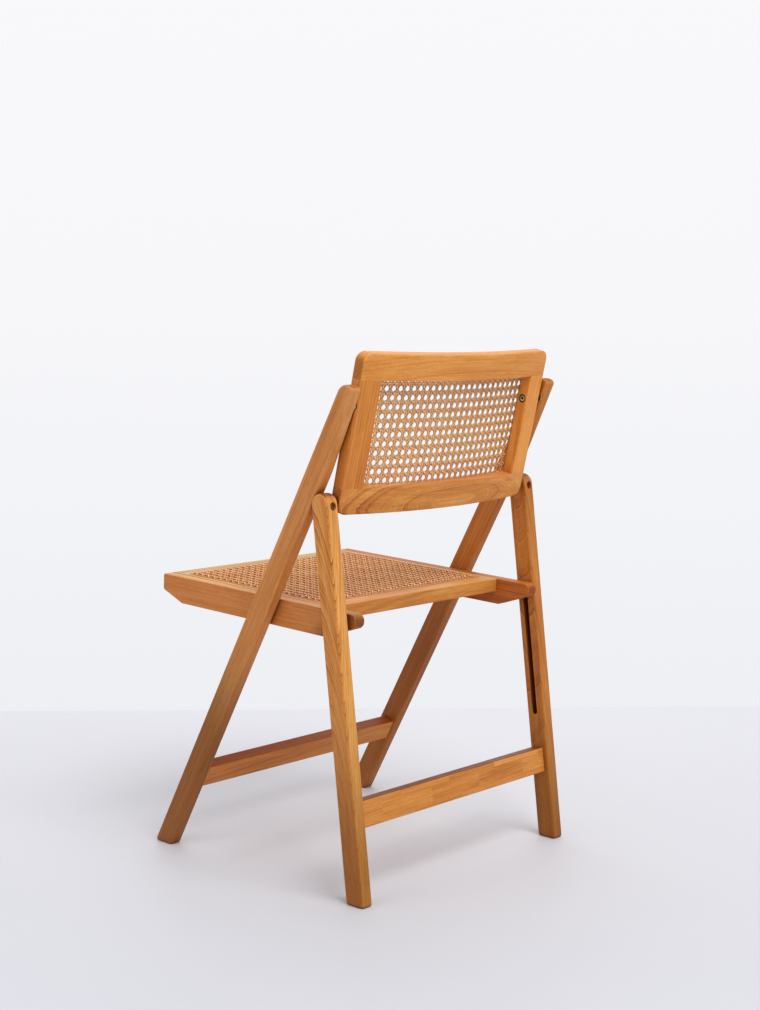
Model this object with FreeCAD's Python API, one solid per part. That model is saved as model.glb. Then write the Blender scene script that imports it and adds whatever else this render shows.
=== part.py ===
import FreeCAD, Part
import os
import math

# Folding side chair in teak with a cane seat and a cane back.
# Frame: X across the chair, +X on the sitter's left, the sitter faces -Y,
# +Z up, origin on the floor at the middle of the footprint. Millimetres.
# The chair stands open. All side profiles are drawn in the Y-Z plane.

# ---------------------------------------------------------------- dimensions
EDGE = 2.5                # rounding of the long edges of the stretchers
LEG_EDGE = 4.0            # rounding of the edges and feet of the legs
LEG_DEPTH = 32.0          # leg section seen from the side
FRONT_THICK = 20.0        # front leg section across the chair
REAR_THICK = 20.8         # rear leg section across the chair
GLUE = 0.05               # glue gap round a dowel or insert, on the radius

# front legs: foot at the front, top behind the backrest
FRONT_FOOT_Y = -194.39
FRONT_SLOPE = 0.53366     # rearward travel per unit of height
FRONT_OUTER_X = 224.0
FRONT_LENGTH = 796.7      # along the centre line from the floor
FRONT_TAPER_FROM = 669.5  # the rear face tapers from here up
FRONT_TOP_HALF = 7.0      # what is left behind the centre line at the top
FRONT_NOSE_R = 16.5
FRONT_HEEL_R = 5.5

# rear legs: foot at the rear, top under the backrest's lower corners
REAR_FOOT_Y = 204.42
REAR_SLOPE = 0.13597      # forward travel per unit of height
REAR_OUTER_X = 226.6
REAR_LENGTH = 561.8       # along the centre line from the floor to the round top

# pivots, along each leg from the floor and behind its centre line
BACK_PIVOT = (767.3, 3.2)     # backrest bolt, on the front legs
REAR_PIVOT = (543.0, 0.0)     # rear leg to backrest, on the rear legs
SEAT_PIVOT = (430.9, 0.0)     # seat bolt, on the front legs
SLOT_PIN = (383.6, -1.7)      # seat pin at the top of the slot, on the rear legs

# slots in the inner faces of the rear legs
SLOT_R = 4.6
SLOT_DEPTH = 12.0
SLOT_BOTTOM = 195.5       # centre of the lower end, along the leg
PIN_R = 4.5

# stretchers, in each leg's own directions: along and across the leg
REAR_STR_LOW, REAR_STR_HIGH = 102.4, 140.4
REAR_STR_FRONT, REAR_STR_BACK = -12.5, 7.45
FRONT_STR_LOW, FRONT_STR_HIGH = 114.6, 149.3
FRONT_STR_FRONT, FRONT_STR_BACK = -7.2, 13.0

# backrest: a frame bent to one wide arc, hollow side to the front
BACK_LEAN = 0.2159        # radians
BACK_FOOT = (157.02, 521.94)  # lower edge of the rear face, at the middle
BACK_HALF = 201.0
BACK_HEIGHT = 226.0
BACK_THICK = 18.0
BACK_SAG = 17.0
BACK_RAIL = 37.4
STILE_WIDTH = 37.0
BACK_CORNER_R = 14.0

# seat: two side boards and a flat frame that holds the cane
SEAT_TOP_Z = 398.8        # height of the top at the seat's own zero line
SEAT_ZERO_Y = 3.58        # where that line lies
SEAT_SLOPE = 0.03065      # falls to the rear
SEAT_OUTER_X = 200.9
SEAT_BOARD = 18.5
SEAT_DEPTH = 39.6
SEAT_FRONT_Y = -222.77     # along the seat from the zero line
SEAT_REAR_Y = 111.0
SEAT_NOSE = 24.0
SEAT_CHIN_Y = -181.0
SEAT_APEX_Y = 115.4
SEAT_TIP_Y = 163.0
SEAT_TIP_R = 10.7
SEAT_EDGE = 1.7
SEAT_BAR = 38.0           # front and rear bars, fore and aft
SEAT_BAR_H = 20.3
SEAT_CLEAT = 22.0         # side cleats, across
SEAT_CLEAT_H = 12.5

# cane and the spline that wedges it in its groove
CANE = 1.5
GROOVE_W = 4.0
GROOVE_D = 4.5
SPLINE_PROUD = 0.7
BACK_LEDGE = 8.0
SEAT_EDGE_SIDE = 27.5     # plain wood outside the groove
SEAT_EDGE_END = 26.0

# hardware
BOLT_R = 3.0
RUN = 0.05                # radial running clearance
HEAD_R = 5.3
HEAD_H = 5.0
COUNTERBORE_R = 6.4
COUNTERBORE_D = 6.0
INSERT_R = 5.0
INSERT_L = 14.0
SPACER_R = 5.0
NUT_R = 5.6
NUT_SUNK = 4.0            # below the leg's rear face
DOWEL_R = 4.0

os.makedirs("parts", exist_ok=True)
V = FreeCAD.Vector

FRONT_INNER_X = FRONT_OUTER_X - FRONT_THICK
REAR_INNER_X = REAR_OUTER_X - REAR_THICK
HALF = LEG_DEPTH / 2.0

aF = math.atan(FRONT_SLOPE)
aR = math.atan(REAR_SLOPE)


def front_leg_point(along, across):
    """(y, z) of a point given along and behind the front leg's centre line."""
    return (FRONT_FOOT_Y + math.sin(aF) * along + math.cos(aF) * across,
            math.cos(aF) * along - math.sin(aF) * across)


def rear_leg_point(along, across):
    """(y, z) of a point given along and behind the rear leg's centre line."""
    return (REAR_FOOT_Y - math.sin(aR) * along + math.cos(aR) * across,
            math.cos(aR) * along + math.sin(aR) * across)


A = front_leg_point(*BACK_PIVOT)
C = rear_leg_point(*REAR_PIVOT)
D = front_leg_point(*SEAT_PIVOT)
E = rear_leg_point(*SLOT_PIN)


# ------------------------------------------------------------------- helpers
def rounded_wire(pts, place):
    """Closed wire through (u, v, radius) points; place maps (u, v) to space."""
    n = len(pts)
    starts, ends, mids = [], [], []
    for i in range(n):
        u0, v0 = pts[i - 1][:2]
        u1, v1, r = pts[i]
        u2, v2 = pts[(i + 1) % n][:2]
        if r <= 0:
            starts.append((u1, v1))
            ends.append((u1, v1))
            mids.append(None)
            continue
        d1 = (u0 - u1, v0 - v1)
        d2 = (u2 - u1, v2 - v1)
        l1, l2 = math.hypot(*d1), math.hypot(*d2)
        d1 = (d1[0] / l1, d1[1] / l1)
        d2 = (d2[0] / l2, d2[1] / l2)
        half = math.acos(max(-1, min(1, d1[0] * d2[0] + d1[1] * d2[1]))) / 2
        cut = r / math.tan(half)
        starts.append((u1 + d1[0] * cut, v1 + d1[1] * cut))
        ends.append((u1 + d2[0] * cut, v1 + d2[1] * cut))
        b = (d1[0] + d2[0], d1[1] + d2[1])
        lb = math.hypot(*b)
        dist = r / math.sin(half) - r
        mids.append((u1 + b[0] / lb * dist, v1 + b[1] / lb * dist))
    edges = []
    for i in range(n):
        if mids[i] is not None:
            edges.append(Part.Arc(place(*starts[i]), place(*mids[i]), place(*ends[i])).toShape())
        a, b = ends[i], starts[(i + 1) % n]
        if math.hypot(a[0] - b[0], a[1] - b[1]) > 1e-6:
            edges.append(Part.makeLine(place(*a), place(*b)))
    return Part.Wire(edges)


def side_prism(pts, x0, x1):
    """Side profile in (y, z) extruded across the chair from x0 to x1."""
    w = rounded_wire(pts, lambda y, z: V(x0, y, z))
    return Part.Face(w).extrude(V(x1 - x0, 0, 0))


def soften(shape, radius, pick):
    """Round the picked edges, stepping the radius down where it won't fit."""
    for r in (radius, radius * 0.8, radius * 0.6, radius * 0.4):
        edges = [e for e in shape.Edges if pick(e)]
        if not edges:
            return shape
        try:
            out = shape.makeFillet(r, edges)
            if out.isValid() and out.Volume > 0 and len(out.Solids) == 1:
                return out.Solids[0]
        except Exception:
            pass
    print("  edges left sharp", len(edges))
    return shape


def in_x_plane(e, x):
    b = e.BoundBox
    return abs(b.XMin - x) < 1e-4 and abs(b.XMax - x) < 1e-4


def cross_rod(y, z, r, x0, x1):
    """Round bar across the chair."""
    return Part.makeCylinder(r, abs(x1 - x0), V(min(x0, x1), y, z), V(1, 0, 0))


def mirror(shape):
    return shape.mirror(V(0, 0, 0), V(1, 0, 0))


def pair(shape):
    """The piece on +X and its mirror image on -X."""
    return [shape, mirror(shape)]


def save(name, shapes):
    if not isinstance(shapes, (list, tuple)):
        shapes = [shapes]
    solids = []
    for s in shapes:
        solids += s.Solids
    body = solids[0] if len(solids) == 1 else Part.makeCompound(solids)
    for s in solids:
        if not s.isValid() or s.Volume <= 0:
            print("BAD", name)
    body.exportStep("parts/%s.step" % name)
    print("%-26s %2d  %9.1f mm3" % (name, len(solids), sum(s.Volume for s in solids)))


# ---------------------------------------------------------------- front legs
foot_half = HALF / math.cos(aF)
top_front = front_leg_point(FRONT_LENGTH, -HALF)
top_rear = front_leg_point(FRONT_LENGTH, FRONT_TOP_HALF)
kink = front_leg_point(FRONT_TAPER_FROM, HALF)
front_leg = side_prism([
    (FRONT_FOOT_Y - foot_half, 0, 0), (FRONT_FOOT_Y + foot_half, 0, 0),
    (kink[0], kink[1], 60.0), (top_rear[0], top_rear[1], FRONT_HEEL_R),
    (top_front[0], top_front[1], FRONT_NOSE_R)], FRONT_INNER_X, FRONT_OUTER_X)
front_leg = soften(front_leg, LEG_EDGE, lambda e: (in_x_plane(e, FRONT_INNER_X) or in_x_plane(e, FRONT_OUTER_X))
                   and e.BoundBox.ZMax > 1.0)
front_leg = soften(front_leg, LEG_EDGE, lambda e: e.BoundBox.ZMax < 0.01)

insert_holes = []
for (y, z) in (A, D):
    insert_holes.append(cross_rod(y, z, INSERT_R + GLUE, FRONT_INNER_X, FRONT_INNER_X + INSERT_L + 1.0))
front_str_mid = (FRONT_STR_FRONT + FRONT_STR_BACK) / 2.0
front_dowel_at = [front_leg_point(FRONT_STR_LOW + 9.0, front_str_mid),
                  front_leg_point(FRONT_STR_HIGH - 9.0, front_str_mid)]
for (y, z) in front_dowel_at:
    insert_holes.append(cross_rod(y, z, DOWEL_R + GLUE, FRONT_INNER_X, FRONT_INNER_X + 13.0))
front_leg = front_leg.cut(Part.makeCompound(insert_holes)).Solids[0]

# ------------------------------------------------------------ front stretcher
front_stretcher = side_prism(
    [front_leg_point(FRONT_STR_LOW, FRONT_STR_FRONT) + (EDGE,), front_leg_point(FRONT_STR_LOW, FRONT_STR_BACK) + (EDGE,),
     front_leg_point(FRONT_STR_HIGH, FRONT_STR_BACK) + (EDGE,), front_leg_point(FRONT_STR_HIGH, FRONT_STR_FRONT) + (EDGE,)],
    -FRONT_INNER_X, FRONT_INNER_X)
front_dowels, holes = [], []
for (y, z) in front_dowel_at:
    front_dowels += pair(cross_rod(y, z, DOWEL_R, FRONT_INNER_X - 16.0, FRONT_INNER_X + 12.0))
    holes += pair(cross_rod(y, z, DOWEL_R + GLUE, FRONT_INNER_X - 17.0, FRONT_INNER_X))
front_stretcher = front_stretcher.cut(Part.makeCompound(holes)).Solids[0]

# ------------------------------------------------------------------ rear legs
rear_foot_half = HALF / math.cos(aR)
u = V(0, -math.sin(aR), math.cos(aR))      # up along the rear leg
nr = V(0, math.cos(aR), math.sin(aR))      # out of its rear face
top3 = V(0, *rear_leg_point(REAR_LENGTH - HALF, 0))
f0 = V(0, REAR_FOOT_Y - rear_foot_half, 0)
f1 = V(0, REAR_FOOT_Y + rear_foot_half, 0)
p_rear, p_top, p_front = top3 + nr * HALF, top3 + u * HALF, top3 - nr * HALF
profile = Part.Wire([Part.makeLine(f0, f1), Part.makeLine(f1, p_rear),
                     Part.Arc(p_rear, p_top, p_front).toShape(), Part.makeLine(p_front, f0)])
profile.translate(V(REAR_INNER_X, 0, 0))
rear_leg = Part.Face(profile).extrude(V(REAR_THICK, 0, 0))
rear_leg = soften(rear_leg, LEG_EDGE, lambda e: (in_x_plane(e, REAR_INNER_X) or in_x_plane(e, REAR_OUTER_X))
                  and e.BoundBox.ZMax > 1.0)
rear_leg = soften(rear_leg, LEG_EDGE, lambda e: e.BoundBox.ZMax < 0.01)

# blind slot for the seat pin, from the pin's place down
s0 = rear_leg_point(SLOT_BOTTOM, SLOT_PIN[1])
slot = cross_rod(E[0], E[1], SLOT_R, REAR_INNER_X - 5, REAR_INNER_X + SLOT_DEPTH)
slot = slot.fuse(cross_rod(s0[0], s0[1], SLOT_R, REAR_INNER_X - 5, REAR_INNER_X + SLOT_DEPTH))
ux, uy = (E[0] - s0[0]), (E[1] - s0[1])
ul = math.hypot(ux, uy)
px, py = -uy / ul * SLOT_R, ux / ul * SLOT_R
slot = slot.fuse(side_prism([(E[0] + px, E[1] + py, 0), (E[0] - px, E[1] - py, 0),
                             (s0[0] - px, s0[1] - py, 0), (s0[0] + px, s0[1] + py, 0)],
                            REAR_INNER_X - 5, REAR_INNER_X + SLOT_DEPTH))
rear_leg = rear_leg.cut(slot).Solids[0]

# cross hole for the barrel nut, from the rear face through the pivot
nut_x = REAR_INNER_X + REAR_THICK / 2.0
nut_c = V(nut_x, C[0], C[1])
nut_hole = Part.makeCylinder(NUT_R + GLUE, HALF + 8.0 + 2.0, nut_c - nr * 8.0, nr)
stud_hole = cross_rod(C[0], C[1], BOLT_R + RUN + 0.03, REAR_INNER_X - 1, REAR_INNER_X + 14.5)
rear_str_mid = (REAR_STR_FRONT + REAR_STR_BACK) / 2.0
rear_dowel_at = [rear_leg_point(REAR_STR_LOW + 10.0, rear_str_mid),
                 rear_leg_point(REAR_STR_HIGH - 10.0, rear_str_mid)]
rear_leg = rear_leg.cut(nut_hole).cut(stud_hole)
rear_leg = rear_leg.cut(Part.makeCompound(
    [cross_rod(y, z, DOWEL_R + GLUE, REAR_INNER_X, REAR_INNER_X + 13.0) for (y, z) in rear_dowel_at])).Solids[0]

barrel_nut = Part.makeCylinder(NUT_R, HALF - NUT_SUNK + 7.0, nut_c - nr * 7.0, nr)
barrel_nut = barrel_nut.cut(cross_rod(C[0], C[1], BOLT_R + RUN, REAR_INNER_X, REAR_OUTER_X))
driver = Part.makeBox(1.5, 4.0 * NUT_R, 1.6, V(-0.75, -2.0 * NUT_R, -1.6))
driver.Placement = FreeCAD.Placement(nut_c + nr * (HALF - NUT_SUNK), FreeCAD.Rotation(V(0, 0, 1), nr))
barrel_nut = barrel_nut.cut(driver).Solids[0]

# ------------------------------------------------------------- rear stretcher
rear_stretcher = side_prism(
    [rear_leg_point(REAR_STR_LOW, REAR_STR_FRONT) + (EDGE,), rear_leg_point(REAR_STR_LOW, REAR_STR_BACK) + (EDGE,),
     rear_leg_point(REAR_STR_HIGH, REAR_STR_BACK) + (EDGE,), rear_leg_point(REAR_STR_HIGH, REAR_STR_FRONT) + (EDGE,)],
    -REAR_INNER_X, REAR_INNER_X)
rear_dowels, holes = [], []
for (y, z) in rear_dowel_at:
    rear_dowels += pair(cross_rod(y, z, DOWEL_R, REAR_INNER_X - 16.0, REAR_INNER_X + 12.0))
    holes += pair(cross_rod(y, z, DOWEL_R + GLUE, REAR_INNER_X - 17.0, REAR_INNER_X))
rear_stretcher = rear_stretcher.cut(Part.makeCompound(holes)).Solids[0]

# ------------------------------------------------------------------- backrest
# Drawn upright: x across, y behind the rear face's middle line, z up the panel.
ARC = (BACK_HALF ** 2 + BACK_SAG ** 2) / (2.0 * BACK_SAG)
back_place = FreeCAD.Placement(V(0, BACK_FOOT[0], BACK_FOOT[1]),
                               FreeCAD.Rotation(V(1, 0, 0), -math.degrees(BACK_LEAN)))


def back_local(y, z):
    """(y, z) of the chair turned into the panel's own (y, z)."""
    p = back_place.inverse().multVec(V(0, y, z))
    return (p.y, p.z)


def bent_slab(r_out, r_in, z0, z1):
    """Part of a wide tube wall about the panel's arc centre."""
    slab = Part.makeCylinder(r_out, z1 - z0, V(0, -ARC, z0)).cut(
        Part.makeCylinder(r_in, z1 - z0 + 2, V(0, -ARC, z0 - 1)))
    keep = Part.makeBox(2 * BACK_HALF + 20, 120, z1 - z0, V(-BACK_HALF - 10, -90, z0))
    return slab.common(keep)


def back_outline(pts):
    """Outline in the panel's (x, z) extruded through its thickness."""
    w = rounded_wire(pts, lambda x, z: V(x, -80.0, z))
    return Part.Face(w).extrude(V(0, 110.0, 0))


opening_x = BACK_HALF - STILE_WIDTH
opening_z0, opening_z1 = BACK_RAIL, BACK_HEIGHT - BACK_RAIL
body_slab = bent_slab(ARC, ARC - BACK_THICK, 0, BACK_HEIGHT)
B, H = BACK_HALF, BACK_HEIGHT
top_rail = body_slab.common(back_outline([(-B, opening_z1, 0), (B, opening_z1, 0),
                                          (B, H, BACK_CORNER_R), (-B, H, BACK_CORNER_R)])).Solids[0]
bottom_rail = body_slab.common(back_outline([(-B, 0, BACK_CORNER_R), (B, 0, BACK_CORNER_R),
                                             (B, opening_z0, 0), (-B, opening_z0, 0)])).Solids[0]
stile = body_slab.common(back_outline([(opening_x, opening_z0, 0), (B, opening_z0, 0),
                                       (B, opening_z1, 0), (opening_x, opening_z1, 0)])).Solids[0]


def on_line(e, z):
    return abs(e.BoundBox.ZMin - z) < 1e-4 and abs(e.BoundBox.ZMax - z) < 1e-4


def runs_through(e):
    """Edge that runs from the rear face to the front face."""
    vs = e.Vertexes
    if len(vs) < 2:
        return False
    return abs(vs[0].Point.y - vs[1].Point.y) > BACK_THICK * 0.8


top_rail = soften(top_rail, 3.0, lambda e: not on_line(e, opening_z1) and not runs_through(e)
                  and e.BoundBox.ZMax > opening_z1 + 1)
bottom_rail = soften(bottom_rail, 3.0, lambda e: not on_line(e, opening_z0) and not runs_through(e)
                     and e.BoundBox.ZMin < opening_z0 - 1)
stile = soften(stile, 3.0, lambda e: in_x_plane(e, BACK_HALF) and not runs_through(e)
               and e.BoundBox.ZLength > 20)
stile = soften(stile, 1.5, lambda e: in_x_plane(e, opening_x) and not runs_through(e)
               and e.BoundBox.ZLength > 20)

# groove in the hollow front face, all round the opening
g_in_x = opening_x + BACK_LEDGE
g_out_x = g_in_x + GROOVE_W
g_in_z0, g_in_z1 = opening_z0 - BACK_LEDGE, opening_z1 + BACK_LEDGE
g_out_z0, g_out_z1 = g_in_z0 - GROOVE_W, g_in_z1 + GROOVE_W


def back_ring(clear):
    outer = back_outline([(-g_out_x - clear, g_out_z0 - clear, 4), (g_out_x + clear, g_out_z0 - clear, 4),
                          (g_out_x + clear, g_out_z1 + clear, 4), (-g_out_x - clear, g_out_z1 + clear, 4)])
    inner = back_outline([(-g_in_x + clear, g_in_z0 + clear, 1.5), (g_in_x - clear, g_in_z0 + clear, 1.5),
                          (g_in_x - clear, g_in_z1 - clear, 1.5), (-g_in_x + clear, g_in_z1 - clear, 1.5)])
    return outer.cut(inner)


r_front = ARC - BACK_THICK
back_groove = bent_slab(r_front + GROOVE_D, r_front - 5, 0, H).common(back_ring(0.0))
back_spline = bent_slab(r_front + GROOVE_D - 0.2, r_front - SPLINE_PROUD, 0, H).common(back_ring(-0.05)).Solids[0]
back_cane = bent_slab(r_front - 0.05, r_front - CANE, 0, H).common(
    back_outline([(-g_in_x, g_in_z0, 1.5), (g_in_x, g_in_z0, 1.5),
                  (g_in_x, g_in_z1, 1.5), (-g_in_x, g_in_z1, 1.5)])).Solids[0]

# bolt of the back pivot: through the stile, head let into its inner face
ay, az = back_local(*A)
cy, cz = back_local(*C)
pivot_bore = Part.makeCylinder(BOLT_R + RUN, 80, V(opening_x - 20, ay, az), V(1, 0, 0)).fuse(
    Part.makeCylinder(COUNTERBORE_R, COUNTERBORE_D + 20, V(opening_x - 20, ay, az), V(1, 0, 0)))

# dowels between stiles and rails
frame_dowels, frame_holes = [], []
for x in (opening_x + 8.6, BACK_HALF - 9.4):
    depth = -(ARC - math.sqrt(ARC ** 2 - x ** 2)) - BACK_THICK / 2.0 + 0.2
    for z in (opening_z0, opening_z1):
        frame_dowels += pair(Part.makeCylinder(DOWEL_R - 0.5, 26, V(x, depth, z - 13)))
        frame_holes += pair(Part.makeCylinder(DOWEL_R - 0.5 + GLUE, 28, V(x, depth, z - 14)))
stud_socket = pair(Part.makeCylinder(BOLT_R + GLUE / 2, 17.4, V(BACK_HALF - 16.4, cy, cz), V(1, 0, 0)))
cutters = Part.makeCompound(frame_holes)
top_rail = top_rail.cut(back_groove).cut(cutters).Solids[0]
bottom_rail = bottom_rail.cut(back_groove).cut(cutters).cut(Part.makeCompound(stud_socket)).Solids[0]
stile = stile.cut(back_groove).cut(cutters).cut(pivot_bore).Solids[0]


def place_back(s):
    s = s.copy()
    s.Placement = back_place.multiply(s.Placement)
    return s


# ------------------------------------------------------- pivots of the backrest
def socket_bolt(y, z, seat_x, tip_x):
    """Bolt across the chair with a socket head; seat_x is under the head."""
    head = Part.makeCylinder(HEAD_R, HEAD_H, V(seat_x - HEAD_H, y, z), V(1, 0, 0))
    head = soften(head, 0.8, lambda e: in_x_plane(e, seat_x - HEAD_H))
    shank = cross_rod(y, z, BOLT_R, seat_x - 0.5, tip_x)
    bolt = head.fuse(shank).removeSplitter()
    key = Part.Face(Part.makePolygon([V(seat_x - HEAD_H - 1, y + 2.3 * math.cos(math.radians(60 * i)),
                                        z + 2.3 * math.sin(math.radians(60 * i))) for i in range(7)]))
    return bolt.cut(key.extrude(V(1 + 2.8, 0, 0))).Solids[0]


def washer(y, z, r, x0, x1):
    return cross_rod(y, z, r, x0, x1).cut(cross_rod(y, z, BOLT_R + RUN, x0 - 1, x1 + 1)).Solids[0]


def insert(y, z):
    """Threaded insert in the front leg, bored to the bolt."""
    return cross_rod(y, z, INSERT_R, FRONT_INNER_X, FRONT_INNER_X + INSERT_L).cut(
        cross_rod(y, z, BOLT_R + 0.03, FRONT_INNER_X - 1, FRONT_INNER_X + INSERT_L - 1)).Solids[0]


back_bolt = socket_bolt(A[0], A[1], opening_x + COUNTERBORE_D - 0.2, FRONT_INNER_X + INSERT_L - 1.2)
back_spacer = washer(A[0], A[1], SPACER_R, BACK_HALF + 0.1, FRONT_INNER_X - 0.1)
rear_stud = cross_rod(C[0], C[1], BOLT_R, BACK_HALF - 16.0, REAR_INNER_X + 14.0)
rear_spacer = washer(C[0], C[1], SPACER_R, BACK_HALF + 0.1, REAR_INNER_X - 0.1).cut(
    cross_rod(C[0], C[1], BOLT_R + 0.02, 0, 300)).Solids[0]

# ----------------------------------------------------------------------- seat
seat_angle = math.atan(SEAT_SLOPE)
seat_place = FreeCAD.Placement(V(0, SEAT_ZERO_Y, SEAT_TOP_Z), FreeCAD.Rotation(V(1, 0, 0), -math.degrees(seat_angle)))


def seat_local(y, z):
    p = seat_place.inverse().multVec(V(0, y, z))
    return (p.y, p.z)


def place_seat(s):
    s = s.copy()
    s.Placement = seat_place.multiply(s.Placement)
    return s


SEAT_INNER_X = SEAT_OUTER_X - SEAT_BOARD
# lower tangent from the belly's rear corner to the round tip
tip = (SEAT_TIP_Y, -SEAT_TIP_R)
apex = (SEAT_APEX_Y, -SEAT_DEPTH)
dx, dz = tip[0] - apex[0], tip[1] - apex[1]
dist = math.hypot(dx, dz)
ang = math.atan2(dz, dx) - math.asin(SEAT_TIP_R / dist)
run = math.sqrt(dist ** 2 - SEAT_TIP_R ** 2)
touch = (apex[0] + run * math.cos(ang), apex[1] + run * math.sin(ang))


def x0p(x, y, z):
    return V(x, y, z)


def board_profile(x):
    """Side board outline: straight nose, cut-back chin, tapered round tail."""
    pts = [(touch[0], touch[1], 0), (apex[0], apex[1], 6.0), (SEAT_CHIN_Y, -SEAT_DEPTH, 10.0),
           (SEAT_FRONT_Y, -SEAT_NOSE, 4.0), (SEAT_FRONT_Y, 0, 3.0), (SEAT_TIP_Y, 0, 0)]
    n = len(pts)
    wire_edges = []
    body = rounded_wire(pts, lambda y, z: V(x, y, z))
    for e in body.Edges:
        a, b = e.Vertexes[0].Point, e.Vertexes[-1].Point
        ends = sorted([(round(a.y, 3), round(a.z, 3)), (round(b.y, 3), round(b.z, 3))])
        skip = sorted([(round(touch[0], 3), round(touch[1], 3)), (round(SEAT_TIP_Y, 3), 0.0)])
        if ends != skip:
            wire_edges.append(e)
    mid = (tip[0] + SEAT_TIP_R * math.cos((ang - math.pi / 2 + math.pi / 2) / 2),
           tip[1] + SEAT_TIP_R * math.sin((ang - math.pi / 2 + math.pi / 2) / 2))
    wire_edges.append(Part.Arc(V(x, touch[0], touch[1]), V(x, mid[0], mid[1]), V(x, SEAT_TIP_Y, 0)).toShape())
    return Part.Wire(Part.__sortEdges__(wire_edges))


board = Part.Face(board_profile(SEAT_INNER_X)).extrude(V(SEAT_BOARD, 0, 0))
board = soften(board, SEAT_EDGE, lambda e: in_x_plane(e, SEAT_OUTER_X))
board = soften(board, 2.0, lambda e: in_x_plane(e, SEAT_INNER_X) and e.BoundBox.ZMax < -0.5)

dy, dzl = seat_local(*D)
ey, ez = seat_local(*E)
board_holes = [
    Part.makeCylinder(BOLT_R + RUN, 60, V(SEAT_INNER_X - 5, dy, dzl), V(1, 0, 0)),
    Part.makeCylinder(COUNTERBORE_R, COUNTERBORE_D + 5, V(SEAT_INNER_X - 5, dy, dzl), V(1, 0, 0))]
bar_dowel_at = [(SEAT_FRONT_Y + 10, -SEAT_BAR_H / 2.0), (SEAT_FRONT_Y + SEAT_BAR - 9, -SEAT_BAR_H / 2.0 - 1),
                (SEAT_REAR_Y - SEAT_BAR + 9, -SEAT_BAR_H / 2.0 - 1), (SEAT_REAR_Y - 10, -SEAT_BAR_H / 2.0)]
seat_dowels, bar_holes = [], []
for (y, z) in bar_dowel_at:
    seat_dowels += pair(Part.makeCylinder(DOWEL_R, 26, V(SEAT_INNER_X - 14, y, z), V(1, 0, 0)))
    board_holes.append(Part.makeCylinder(DOWEL_R + GLUE, 18, V(SEAT_INNER_X - 5, y, z), V(1, 0, 0)))
    bar_holes += pair(Part.makeCylinder(DOWEL_R + GLUE, 16, V(SEAT_INNER_X - 15, y, z), V(1, 0, 0)))
board = board.cut(Part.makeCompound(board_holes)).Solids[0]


def seat_block(x0, x1, y0, y1, z0, z1):
    return Part.makeBox(x1 - x0, y1 - y0, z1 - z0, V(x0, y0, z0))


front_bar = seat_block(-SEAT_INNER_X, SEAT_INNER_X, SEAT_FRONT_Y, SEAT_FRONT_Y + SEAT_BAR, -SEAT_BAR_H, 0)
front_bar = soften(front_bar, SEAT_EDGE, lambda e: abs(e.BoundBox.YMin - SEAT_FRONT_Y) < 1e-4
                   and abs(e.BoundBox.YMax - SEAT_FRONT_Y) < 1e-4 and e.BoundBox.XLength > 50)
rear_bar = seat_block(-SEAT_INNER_X, SEAT_INNER_X, SEAT_REAR_Y - SEAT_BAR, SEAT_REAR_Y, -SEAT_BAR_H, 0)
rear_bar = soften(rear_bar, SEAT_EDGE, lambda e: abs(e.BoundBox.YMin - SEAT_REAR_Y) < 1e-4
                  and abs(e.BoundBox.YMax - SEAT_REAR_Y) < 1e-4 and e.BoundBox.XLength > 50)
cleat = seat_block(SEAT_INNER_X - SEAT_CLEAT, SEAT_INNER_X, SEAT_FRONT_Y + SEAT_BAR, SEAT_REAR_Y - SEAT_BAR,
                   -SEAT_CLEAT_H, 0)

sg_out_x = SEAT_OUTER_X - SEAT_EDGE_SIDE
sg_in_x = sg_out_x - GROOVE_W
sg_y0, sg_y1 = SEAT_FRONT_Y + SEAT_EDGE_END, SEAT_REAR_Y - SEAT_EDGE_END


def seat_ring(grow, z0, z1):
    def plate(hx, y0, y1, r):
        w = rounded_wire([(-hx, y0, r), (hx, y0, r), (hx, y1, r), (-hx, y1, r)], lambda x, y: V(x, y, z0))
        return Part.Face(w).extrude(V(0, 0, z1 - z0))
    return plate(sg_out_x + grow, sg_y0 - grow, sg_y1 + grow, 4).cut(
        plate(sg_in_x - grow, sg_y0 + GROOVE_W + grow, sg_y1 - GROOVE_W - grow, 1.5))


seat_groove = seat_ring(0.05, -GROOVE_D, 5)
seat_spline = seat_ring(0.0, -GROOVE_D + 0.2, SPLINE_PROUD).Solids[0]
w = rounded_wire([(-sg_in_x, sg_y0 + GROOVE_W, 1.5), (sg_in_x, sg_y0 + GROOVE_W, 1.5),
                  (sg_in_x, sg_y1 - GROOVE_W, 1.5), (-sg_in_x, sg_y1 - GROOVE_W, 1.5)], lambda x, y: V(x, y, 0))
seat_cane = Part.Face(w).extrude(V(0, 0, CANE))
front_bar = front_bar.cut(seat_groove).cut(Part.makeCompound(bar_holes)).Solids[0]
rear_bar = rear_bar.cut(seat_groove).cut(Part.makeCompound(bar_holes)).Solids[0]
cleat = cleat.cut(seat_groove).Solids[0]

seat_bolt = socket_bolt(D[0], D[1], SEAT_INNER_X + COUNTERBORE_D - 0.2, FRONT_INNER_X + INSERT_L - 1.2)
seat_washer = washer(D[0], D[1], 7.0, SEAT_OUTER_X + 0.1, FRONT_INNER_X - 0.1)

# pin that runs in the slot, with a thrust collar against the leg
slot_pin = cross_rod(E[0], E[1], PIN_R, SEAT_OUTER_X + 0.2, REAR_INNER_X + SLOT_DEPTH - 1.0)
slot_pin = slot_pin.fuse(cross_rod(E[0], E[1], 7.0, REAR_INNER_X - 2.0, REAR_INNER_X - 0.3)).removeSplitter()

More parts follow.
